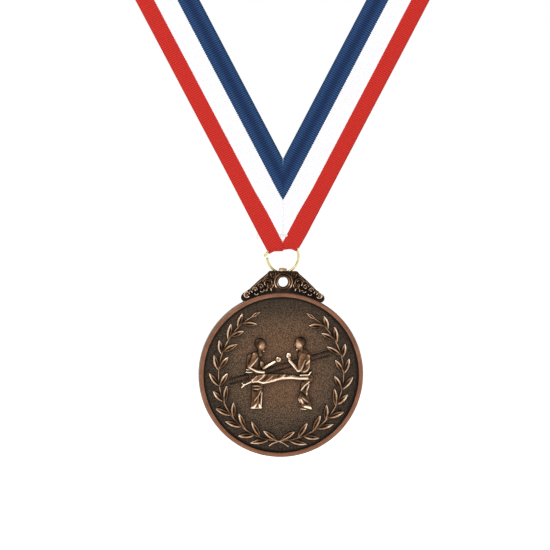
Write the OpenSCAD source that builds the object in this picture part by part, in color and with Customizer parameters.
// Cast award medal hanging from a tricolour neck ribbon.
// The medal faces -Y and +Z is up. The origin is the middle of the ribbon at the nape.

/* [Ribbon] */
// Width of the woven ribbon
ribbon_w = 22; // [18:1:28]
// Length of the ribbon loop along its middle, from mitre to mitre
ribbon_l = 760; // [620:10:900]
// Thickness of the cloth
ribbon_t = 0.5; // [0.3:0.05:0.7]
// Width of the red stripe along the outer edge
red_w = 6.5; // [4:0.1:8]
// Width of the blue stripe along the inner edge
blue_w = 7.7; // [4:0.1:9.5]
// Width of the sewn seam behind the mitre
seam_w = 1.4; // [0.8:0.1:2.5]
// How far the sewn seam stands off the back of the cloth
seam_t = 0.35; // [0.2:0.05:0.6]
// Length of the bar tack that closes the folded tip
tack_w = 3.2; // [2:0.1:4]

/* [Collar] */
// Half width of the flat front of the loop, on the collar level
collar_flat = 17; // [12:0.5:22]
// Radius of the loop's front corners, on the collar level
collar_corner_r = 21; // [15:0.5:26]
// How much wider the round back is than the front and its corners, on the collar level
collar_bulge = 2.5; // [1:0.5:6]

/* [Jump ring] */
// Radius of the ring, to the middle of its wire
ring_r = 6.1; // [5:0.1:8]
// Diameter of the ring's wire
wire_d = 0.95; // [0.7:0.05:1.2]
// Height of the ribbon's fold above the ring's centre
fold_rise = 2.6; // [2:0.1:3.5]
// How far the cloth stands past the ring's wire at each end of the fold
fold_over = 0.6; // [0:0.1:1.2]

/* [Disc] */
// Diameter of the medal's disc
disc_d = 64; // [50:1:80]
// Thickness of the disc at its rim
disc_t = 4; // [3:0.1:6]
// Width of the flat front rim
rim_w = 2.1; // [1.2:0.1:4]
// Depth of the field below the front rim
field_drop = 1.2; // [0.9:0.1:1.5]
// Width of the back rim
back_rim_w = 2.6; // [1.2:0.1:5]
// Depth of the back panel below the back rim
back_drop = 0.6; // [0.3:0.1:0.9]
// Sideways lean of the hanging medal, clockwise seen from the front
lean = 1.2; // [-4:0.1:4]

/* [Header] */
// Height of the header's top edge above the disc
header_rise = 8.4; // [7:0.1:11]
// Width of the header's flat top
header_top_w = 9.8; // [7:0.1:13]
// Thickness of the header plate
header_t = 1.4; // [1:0.1:2]
// Diameter of the hole through the header
hole_d = 3.8; // [2.5:0.1:5]
// Width of the raised ring round the hole
boss_w = 1; // [0.6:0.1:1.5]
// Height of the header's ornament above its plate
ornament_h = 0.6; // [0.3:0.1:0.9]
// Angle from the header's middle to its end lobes, about the disc's centre
lobe_a = 27.2; // [22:0.2:34]
// Radius of the header's end lobes
lobe_r = 1.4; // [1:0.1:2]

/* [Lug] */
// Width of the lug along the wire
lug_w = 2.4; // [1.6:0.1:3.5]
// Diameter of the eye in the lug
eye_d = 1.5; // [1.4:0.05:2]
// Metal over the eye at the lug's crown
crown_t = 1.5; // [1:0.05:2.5]
// Metal under the eye at the lug's foot
foot_t = 0.7; // [0.4:0.05:1]
// Depth of the ring's wire below the header's top edge
wire_drop = 0.8; // [0.5:0.05:1.2]

/* [Relief] */
// Radius of the wreath's stems to either side
wreath_rx = 24.4; // [18:0.1:30]
// Radius of the wreath's stems at top and bottom
wreath_rz = 25.7; // [18:0.1:31]
// Number of leaves along each side of a stem
leaf_count = 10; // [5:1:14]
// Length of a leaf
leaf_l = 5.9; // [3:0.1:7]
// Width of a leaf
leaf_w = 1.8; // [1:0.1:2.4]
// Height of the wreath above the field
wreath_h = 0.6; // [0.3:0.05:0.9]
// Thickness of a stem
stem_w = 0.7; // [0.4:0.05:1.2]
// Size of the two figures, as a share of their drawn size
figure_k = 1; // [0.8:0.05:1.1]
// Height of a figure's trunk above the field
figure_h = 0.9; // [0.5:0.05:1.1]
// Thickness of a rope
rope_w = 0.5; // [0.3:0.05:0.9]
// Turn of the struck design on the disc, clockwise seen from the front
art_turn = 0.9; // [-3:0.1:3]

/* [Fits] */
// Gap between the ring's wire and the cloth on either side of it
cloth_gap = 0.1; // [0.05:0.05:0.3]
// Gap between the wire and the top of the eye that rests on it
eye_gap = 0.2; // [0.18:0.01:0.3]
// Gap between the wire and the back of the header plate, for swinging
swing_gap = 0.625; // [0.4:0.025:1.2]
// Gap between the cloth above and below the line where the ribbon bends
bend_gap = 0.4; // [0.3:0.05:0.8]

/* [Hidden] */
$fn = 64;
eps = 0.01;

red = "#c8332c";
white = "#f2f2f4";
blue = "#1e3e70";
copper = "#8c5c46";
bronze = "#4c4138";
bronze_light = "#9a8068";
brass = "#c9bd7a";

// ---- Ribbon: a flat strip wrapped on a cone, so that it lies flat in front and round the nape ----
// The collar section is drawn on a level below the cone's apex: a flat, a corner and a round back.
collar_level = 100;
collar_back_r = collar_flat + collar_corner_r + collar_bulge;
back_y = collar_corner_r + sqrt(pow(collar_back_r - collar_corner_r, 2) - pow(collar_flat, 2));
join_a = atan2(collar_corner_r - back_y, collar_flat);
corner_l = collar_corner_r * (join_a + 90) * PI / 180;
back_l = collar_back_r * (90 - join_a) * PI / 180;
section_l = collar_flat + corner_l + back_l;

function unit(v) = v / norm(v);
function turn(l, r) = l / r * 180 / PI;
function section_pt(l) =
    l < collar_flat ? [l, 0]
    : l < collar_flat + corner_l
    ? [collar_flat + collar_corner_r * cos(turn(l - collar_flat, collar_corner_r) - 90),
       collar_corner_r + collar_corner_r * sin(turn(l - collar_flat, collar_corner_r) - 90)]
    : [collar_back_r * cos(join_a + turn(l - collar_flat - corner_l, collar_back_r)),
       back_y + collar_back_r * sin(join_a + turn(l - collar_flat - corner_l, collar_back_r))];
function ray(l) = unit([section_pt(l)[0], section_pt(l)[1], -collar_level]);
function angle_between(a, b) = 2 * asin(min(1, norm(a - b) / 2));

// Sweep angle gathered along the section, as pairs of angle and section length
sweep_steps = 120;
step_l = section_l / sweep_steps;
step_angles = [for (i = [0:sweep_steps - 1]) angle_between(ray(i * step_l), ray((i + 1) * step_l))];
function gather(list, i = 0, sum = 0) =
    i == len(list) ? [sum] : concat([sum], gather(list, i + 1, sum + list[i]));
gathered = gather(step_angles);
sweep_table = [for (i = [0:sweep_steps]) [gathered[i], i * step_l]];
sweep = gathered[sweep_steps];

// Each leg leaves the mitre at this angle from upright
leg_a = 90 - sweep;
nape_slant = ribbon_l / 2 / tan(sweep);
mitre_slant = nape_slant / cos(sweep);
apex = -nape_slant * ray(section_l);
front_y = apex[1];
mitre_z = apex[2] - mitre_slant;

function ribbon_dir(t) = ray(lookup(t, sweep_table));
function ribbon_normal(t) =
    let (l = max(0, min(section_l, lookup(t, sweep_table))), d = section_l / 2000)
    unit(cross(ray(l + d) - ray(l - d), ray(l)));
// A point of the cloth: q along the strip from the nape, v across it (outwards), n off its middle
function cloth_pt(q, v, n) =
    let (t = sweep - atan2(q, nape_slant + v), slant = norm([q, nape_slant + v]))
    apex + slant * ribbon_dir(t) + n * ribbon_normal(t);

// ---- Places down the front, from the mitre to the disc ----
// The point of the V is folded up where it is as wide as the ring is at that height
fold_half = sqrt(pow(ring_r, 2) - pow(fold_rise, 2)) + fold_over;
fold_z = mitre_z - ribbon_w / 2 / sin(leg_a) + fold_half / tan(leg_a);
bend_z = fold_z + fold_half / tan(leg_a) + 1.2;
ring_z = fold_z - fold_rise;
wire_r = wire_d / 2;
ring_y = front_y + ribbon_t / 2 + cloth_gap + wire_r;
hang_z = ring_z - ring_r;
disc_r = disc_d / 2;
header_top = disc_r + header_rise;
hang = header_top - wire_drop;

// Distances in front of the wire are negative, behind it positive
plate_back = -wire_r - swing_gap;
plate_front = plate_back - header_t;
disc_front = plate_front - 0.2;
disc_back = disc_front + disc_t;
field_y = disc_front + field_drop;
panel_y = disc_back - back_drop;

eye_top = hang + wire_r + eye_gap;
eye_z = eye_top - eye_d / 2;
lug_foot = eye_top - eye_d - foot_t;
lug_crown = eye_top + crown_t;
lug_r = (lug_crown - lug_foot) / 2;
hole_z = lug_foot - eps - hole_d / 2;

// ---- Ribbon pieces ----
mid_v = ribbon_w / 2 - red_w;
blue_v = blue_w - ribbon_w / 2;
strip_rings = 44;

// Where a line across the strip starts: at the mitre, or at the bend line if that is higher
function start_q(v) =
    let (at_mitre = (nape_slant + v) * tan(sweep),
         at_bend = ribbon_l / 2 - (bend_z + bend_gap / 2 - mitre_z + v * sin(leg_a)) / cos(leg_a))
    min(at_mitre, at_bend);
function line_pt(v, i, n) =
    let (p = cloth_pt(start_q(v) * (1 - i / strip_rings), v, n))
    i == strip_rings || p[0] < eps ? [0, p[1], p[2]] : p;

// The line across the strip that meets the mitre and the bend line at one place
corner_v = -(bend_z + bend_gap / 2 - mitre_z) * sin(leg_a);
function across(v0, v1) =
    corner_v > v0 + 0.2 && corner_v < v1 - 0.2 ? [v0, corner_v, v1] : [v0, v1];

// One half of a stripe between two lines across the strip, from the mitre to the nape
module stripe_half(v0, v1) {
    vs = across(v0, v1);
    n = len(vs);
    m = 2 * n;
    ring = concat([for (v = vs) [v, -1]], [for (k = [n - 1:-1:0]) [vs[k], 1]]);
    points = [for (i = [0:strip_rings]) for (c = ring) line_pt(c[0], i, c[1] * ribbon_t / 2)];
    sides = [for (i = [0:strip_rings - 1]) for (k = [0:m - 1])
             for (f = [[i * m + k, i * m + (k + 1) % m, i * m + m + (k + 1) % m],
                       [i * m + k, i * m + m + (k + 1) % m, i * m + m + k]]) f];
    last = strip_rings * m;
    ends = [for (j = [0:n - 2])
            for (f = [[m - 1 - j, m - 2 - j, j + 1, j],
                      [last + j, last + j + 1, last + m - 2 - j, last + m - 1 - j]]) f];
    polyhedron(points, concat(sides, ends));
}

module stripe(v0, v1) {
    stripe_half(v0, v1);
    mirror([1, 0, 0]) stripe_half(v0, v1);
}

module red_stripe() {
    color(red) stripe(mid_v, ribbon_w / 2);
}

module white_stripe() {
    color(white) stripe(blue_v, mid_v);
}

module blue_stripe() {
    color(blue) stripe(-ribbon_w / 2, blue_v);
}

// Puts a flat drawing upright: its y becomes Z, and it rises towards -Y from y
module upright(y, z, h) {
    translate([0, y, z]) rotate([90, 0, 0]) linear_extrude(h) children();
}

module mitre_seam() {
    notch_z = mitre_z + ribbon_w / 2 / sin(leg_a);
    seam_l = notch_z - bend_z - bend_gap;
    color(white)
        upright(front_y + ribbon_t / 2 + seam_t, bend_z + bend_gap / 2, seam_t)
            translate([-seam_w / 2, 0]) square([seam_w, seam_l]);
}

// Both legs of the V between two lines across the strip, drawn flat about the mitre
module band_2d(v0, v1) {
    for (m = [0, 1])
        mirror([m, 0])
            intersection() {
                rotate(-leg_a) translate([v0, -2 * ribbon_w]) square([v1 - v0, 4 * ribbon_w]);
                translate([0, -3 * ribbon_w]) square([2 * ribbon_w, 6 * ribbon_w]);
            }
}

// The part of the V below the bend line and above the fold
module point_2d(v0, v1) {
    low = fold_z + fold_r - mitre_z;
    high = bend_z - bend_gap / 2 - mitre_z;
    intersection() {
        band_2d(v0, v1);
        translate([-ribbon_w, low]) square([2 * ribbon_w, high - low]);
    }
}

fold_r = wire_r + cloth_gap + ribbon_t;
flap_y = ring_y + wire_r + cloth_gap;
// The turned-up cloth keeps inside the ring's wire
turn_half = sqrt(pow(ring_r - wire_r - cloth_gap, 2) - pow(fold_rise + ribbon_t, 2));
tack_h = 0.8;
tack_z = ring_z + ring_r + wire_r + 1.4;

module tack_slot() {
    translate([-tack_w / 2, front_y - ribbon_w / 2, tack_z]) cube([tack_w, ribbon_w, tack_h]);
}

module point_layer(v0, v1) {
    difference() {
        upright(front_y + ribbon_t / 2, mitre_z, ribbon_t) point_2d(v0, v1);
        tack_slot();
    }
}

module point_red() {
    color(red) point_layer(mid_v, ribbon_w / 2);
}

module point_white() {
    color(white) point_layer(blue_v, mid_v);
}

// The cloth turned under the wire and up behind it, to the point of the V
module fold_flap() {
    color(red) {
        difference() {
            upright(flap_y + ribbon_t, fold_z + fold_r, ribbon_t)
                polygon([[-turn_half, 0], [turn_half, 0], [0, turn_half / tan(leg_a)]]);
            tack_slot();
        }
        translate([-turn_half, ring_y, fold_z + fold_r])
            rotate([90, 0, 90])
                linear_extrude(2 * turn_half)
                    intersection() {
                        difference() {
                            circle(r = fold_r);
                            circle(r = fold_r - ribbon_t);
                        }
                        translate([-2 * fold_r, -4 * fold_r]) square([4 * fold_r, 4 * fold_r]);
                    }
    }
}

module bar_tack() {
    color(white)
        translate([-tack_w / 2, front_y - ribbon_t / 2, tack_z])
            cube([tack_w, flap_y + ribbon_t - front_y + ribbon_t / 2, tack_h]);
}

// ---- Jump ring: open at the left, with its upper end sprung outward ----
gap_low_a = 186;
gap_high_a = 158;
spring_r = 4;
spring_a = 31;

module wire_arc(r, from, to) {
    rotate(from) rotate_extrude(angle = to - from) translate([r, 0]) circle(d = wire_d, $fn = 32);
}

module jump_ring() {
    color(brass)
        translate([0, ring_y, ring_z])
            rotate([90, 0, 0]) {
                wire_arc(ring_r, gap_low_a - 360, gap_high_a);
                rotate(gap_high_a)
                    translate([ring_r + spring_r, 0, 0]) wire_arc(spring_r, 180 - spring_a, 180);
            }
}

// ---- The casting, drawn about the disc's centre and hung on the ring's wire ----
module hung() {
    translate([0, ring_y, hang_z]) rotate([0, lean, 0]) translate([0, 0, -hang]) children();
}

// A flat drawing raised h in front of y, in the hung medal
module raised(y, h) {
    hung() upright(y, 0, h) children();
}

module medal_disc() {
    color(bronze) raised(panel_y, panel_y - field_y) circle(r = disc_r, $fn = 128);
}

module rim_2d(w) {
    difference() {
        circle(r = disc_r, $fn = 128);
        circle(r = disc_r - w, $fn = 128);
    }
}

module front_rim() {
    color(copper) raised(field_y, field_drop) rim_2d(rim_w);
}

module back_rim() {
    color(copper) raised(disc_back, back_drop) rim_2d(back_rim_w);
}

function around(r, a) = [r * sin(a), r * cos(a)];
lobe_at = around(disc_r + lobe_r / 2, lobe_a);

module header_plate() {
    color(bronze)
        hung()
            translate([0, plate_back, 0])
                rotate([90, 0, 0])
                    difference() {
                        union() {
                            linear_extrude(header_t)
                                polygon([[-header_top_w / 2, header_top], [header_top_w / 2, header_top],
                                         [header_top_w / 2 + 0.9, header_top - 0.5],
                                         lobe_at + around(0.8 * lobe_r, 60), [lobe_at[0], disc_r / 2],
                                         [-lobe_at[0], disc_r / 2],
                                         [-lobe_at[0], lobe_at[1]] + around(0.8 * lobe_r, -60),
                                         [-header_top_w / 2 - 0.9, header_top - 0.5]]);
                            for (side = [-1, 1])
                                translate([side * lobe_at[0], lobe_at[1], 0]) cylinder(h = header_t, r = lobe_r);
                        }
                        translate([0, 0, -1]) cylinder(h = header_t + 2, r = disc_r, $fn = 128);
                        translate([0, hole_z, -1]) cylinder(h = header_t + 2, d = hole_d);
                    }
}

boss_in = hole_d / 2 + 0.3;
module header_boss() {
    color(bronze_light)
        raised(plate_front, ornament_h)
            translate([0, hole_z])
                difference() {
                    circle(r = boss_in + boss_w);
                    circle(r = boss_in);
                }
}

// A flat curl of the scrollwork, from angle a0 to a1 about its own centre
module curl(x, z, r, a0, a1, w) {
    hung()
        translate([x, plate_front, z])
            rotate([90, 0, 0])
                rotate(a0) rotate_extrude(angle = a1 - a0) translate([r - w / 2, 0]) square([w, ornament_h]);
}

curl_w = 0.5;
// Scroll of one side, in steps away from the hole: crest, inner curl, two waves and the end volute
module scroll(side) {
    big = hole_d / 2 + 4.3;
    mirror_side(side) {
        curl(big, hole_z - 0.2, 1.6, 20, 205, curl_w);
        curl(big - 1.35, hole_z - 1.4, 1.05, -10, 150, curl_w);
        curl(big + 2.5, hole_z - 1.6, 0.75, 10, 190, curl_w);
        curl(big + 4.3, hole_z - 2.5, 0.9, 20, 170, curl_w);
        curl(lobe_at[0], lobe_at[1], 0.28 * lobe_r, -120, 170, curl_w);
    }
}

// Mirrors about the leaning medal's own middle
module mirror_side(side) {
    if (side > 0)
        children();
    else
        hung() mirror([1, 0, 0]) unhung() children();
}

module unhung() {
    translate([0, 0, hang]) rotate([0, -lean, 0]) translate([0, -ring_y, -hang_z]) children();
}

module scroll_left() {
    color(bronze_light) scroll(-1);
}

module scroll_right() {
    color(bronze_light) scroll(1);
}

// Fan of flutes beside the hole's top
module flutes(side) {
    for (i = [0:2])
        raised(plate_front, ornament_h)
            translate([side * (hole_d / 2 + 1.5), hole_z + 1.5])
                rotate(-side * (18 + 24 * i)) translate([-0.2, 0.7]) square([0.4, 1.2]);
}

module flutes_left() {
    color(bronze_light) flutes(-1);
}

module flutes_right() {
    color(bronze_light) flutes(1);
}

// Eye behind the header that hangs on the ring's wire
module ring_lug() {
    color(bronze_light)
        hung()
            translate([-lug_w / 2, 0, 0])
                rotate([90, 0, 90])
                    linear_extrude(lug_w)
                        difference() {
                            intersection() {
                                translate([0, (lug_crown + lug_foot) / 2]) circle(r = lug_r);
                                translate([plate_back, lug_foot - lug_r]) square([4 * lug_r, 4 * lug_r]);
                            }
                            translate([0, eye_z]) circle(d = eye_d);
                        }
}

// ---- Wreath ----
art_h = [for (k = [0:leaf_count - 1]) k];
inner_first = 2.8;
outer_first = 9.8;
inner_pitch = 152.5 / leaf_count;
outer_pitch = 139 / leaf_count;
stem_end = 149;
stem_tail = -6.5;

// The art is drawn for a field of this radius, and is struck larger or smaller with the field inside the rim
drawn_field = 29.9;
art_fit = (disc_d / 2 - rim_w) / drawn_field;

module art(h) {
    raised(field_y, h) rotate(-art_turn) scale(art_fit) children();
}

function stem_pt(a, off) = [(wreath_rx + off) * sin(a), -(wreath_rz + off) * cos(a)];

module stem_2d(from) {
    steps = 40;
    at = [for (i = [0:steps]) from + (stem_end - from) * i / steps];
    polygon(concat([for (a = at) stem_pt(a, stem_w / 2 * (1.2 - 0.7 * a / stem_end))],
                   [for (i = [steps:-1:0]) stem_pt(at[i], -stem_w / 2 * (1.2 - 0.7 * at[i] / stem_end))]));
}

// A pointed leaf from the origin along +y, bounded by two arcs
module leaf_2d() {
    r = (pow(leaf_l / 2, 2) + pow(leaf_w / 2, 2)) / leaf_w;
    intersection() {
        translate([r - leaf_w / 2, leaf_l / 2]) circle(r = r, $fn = 96);
        translate([leaf_w / 2 - r, leaf_l / 2]) circle(r = r, $fn = 96);
    }
}

module leaves_2d() {
    off = stem_w / 2 + 0.55;
    for (k = art_h) {
        a = inner_first + inner_pitch * k;
        b = outer_first + outer_pitch * k;
        translate(stem_pt(a, -off)) rotate(a - 90 + 35) leaf_2d();
        translate(stem_pt(b, off)) rotate(b - 90 - 22) leaf_2d();
    }
    translate(stem_pt(stem_end + 1, 0)) rotate(stem_end - 90) scale(0.64) leaf_2d();
}

module stem_right() {
    color(bronze_light) art(wreath_h) difference() {
        stem_2d(8);
        figures_2d();
    }
}

module stem_left() {
    color(bronze_light)
        art(wreath_h)
            mirror([1, 0])
                difference() {
                    stem_2d(stem_tail);
                    mirror([1, 0]) stem_2d(8);
                }
}

module leaves_left() {
    color(bronze_light) art(wreath_h) mirror([1, 0]) leaves_2d();
}

module leaves_right() {
    color(bronze_light) art(wreath_h) leaves_2d();
}

// ---- Figures: each limb is [x0, z0, x1, z1, width, share of the figure's height] ----
left_limbs = [
    [-8.3, 8.6, -8.5, 7.6, 1.8, 0.7],
    [-9.6, 6.2, -9.0, 1.6, 4.2, 1],
    [-10.9, 6.9, -12.4, 3.1, 2.2, 0.9],
    [-12.4, 2.9, -7.2, 1.5, 1.6, 1],
    [-8.2, 5.6, -6.8, 3.2, 1.8, 0.8],
    [-6.6, 2.7, -2.8, 5.1, 1.5, 0.9],
    [-9.4, 0.2, -9.4, -6.6, 3.6, 0.9],
    [-9.4, -6.6, -9.9, -11.6, 3.3, 0.8],
    [-9.9, -13.2, -8.6, -13.5, 1.4, 0.6]];
right_limbs = [
    [7.4, 9.8, 8.3, 8.6, 1.8, 0.7],
    [9.0, 6.6, 9.2, 2.4, 4.4, 1],
    [9.2, 6.8, 6.9, 2.4, 2.2, 0.95],
    [6.3, 2.4, 3.7, 6.4, 1.5, 0.9],
    [9.3, 1.4, 9.9, -2.2, 3.4, 0.8],
    [9.7, -2.4, 9.0, -6.4, 3.4, 0.9],
    [9.0, -6.4, 10.0, -11.4, 3.2, 0.8],
    [8.2, -13.2, 10.0, -13.0, 1.3, 0.6]];
kick_limbs = [
    [7.2, -0.2, -1.2, -1.0, 3.3, 1],
    [-1.2, -1.0, -8.8, -2.8, 2.5, 1],
    [-9.4, -2.9, -13.4, -3.9, 1.2, 0.8],
    [-14.2, -3.6, -15.5, -5.0, 1.2, 0.8]];
head_l = [-8.3, 11.3];
head_r = [6.7, 12.2];
fist_l = [-1.7, 6.0];
fist_r = [2.8, 7.8];
head_w = 4.1;
head_tall = 5.2;
fist_w = 2.2;

module limb_2d(limb) {
    from = [limb[0], limb[1]];
    to = [limb[2], limb[3]];
    aim = atan2(to[1] - from[1], to[0] - from[0]);
    r = limb[4] / 2;
    polygon(concat([for (a = [90:20:270]) from + r * [cos(aim + a), sin(aim + a)]],
                   [for (a = [-90:20:90]) to + r * [cos(aim + a), sin(aim + a)]]));
}

// An egg of two circles, wider above than below
module head_2d(at) {
    translate(at + [0, (head_tall - head_w) / 2]) circle(d = head_w);
    translate(at - [0, (head_tall - head_w * 0.7) / 2]) circle(d = head_w * 0.7);
}

module limbs(list) {
    for (limb = list) art(figure_h * limb[5]) scale(figure_k) limb_2d(limb);
}

module kick_cut() {
    art(2 * figure_h) scale(figure_k) for (limb = kick_limbs) limb_2d(limb);
}

module figures_2d() {
    scale(figure_k) {
        for (limb = concat(left_limbs, right_limbs, kick_limbs)) limb_2d(limb);
        head_2d(head_l);
        head_2d(head_r);
        for (at = [fist_l, fist_r]) translate(at) circle(d = fist_w);
    }
}

module fighter(list, head, fist) {
    difference() {
        union() {
            limbs(list);
            art(figure_h) scale(figure_k) head_2d(head);
            art(figure_h) scale(figure_k) translate(fist) circle(d = fist_w);
        }
        kick_cut();
    }
}

module fighter_left() {
    color(bronze_light) fighter(left_limbs, head_l, fist_l);
}

module fighter_right() {
    color(bronze_light) fighter(right_limbs, head_r, fist_r);
}

module kicking_leg() {
    color(bronze_light) limbs(kick_limbs);
}

// Two ropes behind the figures, rising to the right
rope_a = 17.5;
rope_z = 3.8;
rope_pitch = 1.9;
rope_half = 19.6;

module ropes() {
    color(bronze)
        art(figure_h / 3)
            difference() {
                for (z = [0, -rope_pitch])
                    translate([0, rope_z + z])
                        rotate(rope_a) translate([-rope_half, -rope_w / 2]) square([2 * rope_half, rope_w]);
                figures_2d();
                leaves_2d();
                mirror([1, 0]) leaves_2d();
            }
}

red_stripe();
white_stripe();
blue_stripe();
mitre_seam();
point_red();
point_white();
fold_flap();
bar_tack();
jump_ring();
medal_disc();
front_rim();
back_rim();
header_plate();
header_boss();
scroll_left();
scroll_right();
flutes_left();
flutes_right();
ring_lug();
stem_left();
stem_right();
leaves_left();
leaves_right();
fighter_left();
fighter_right();
kicking_leg();
ropes();
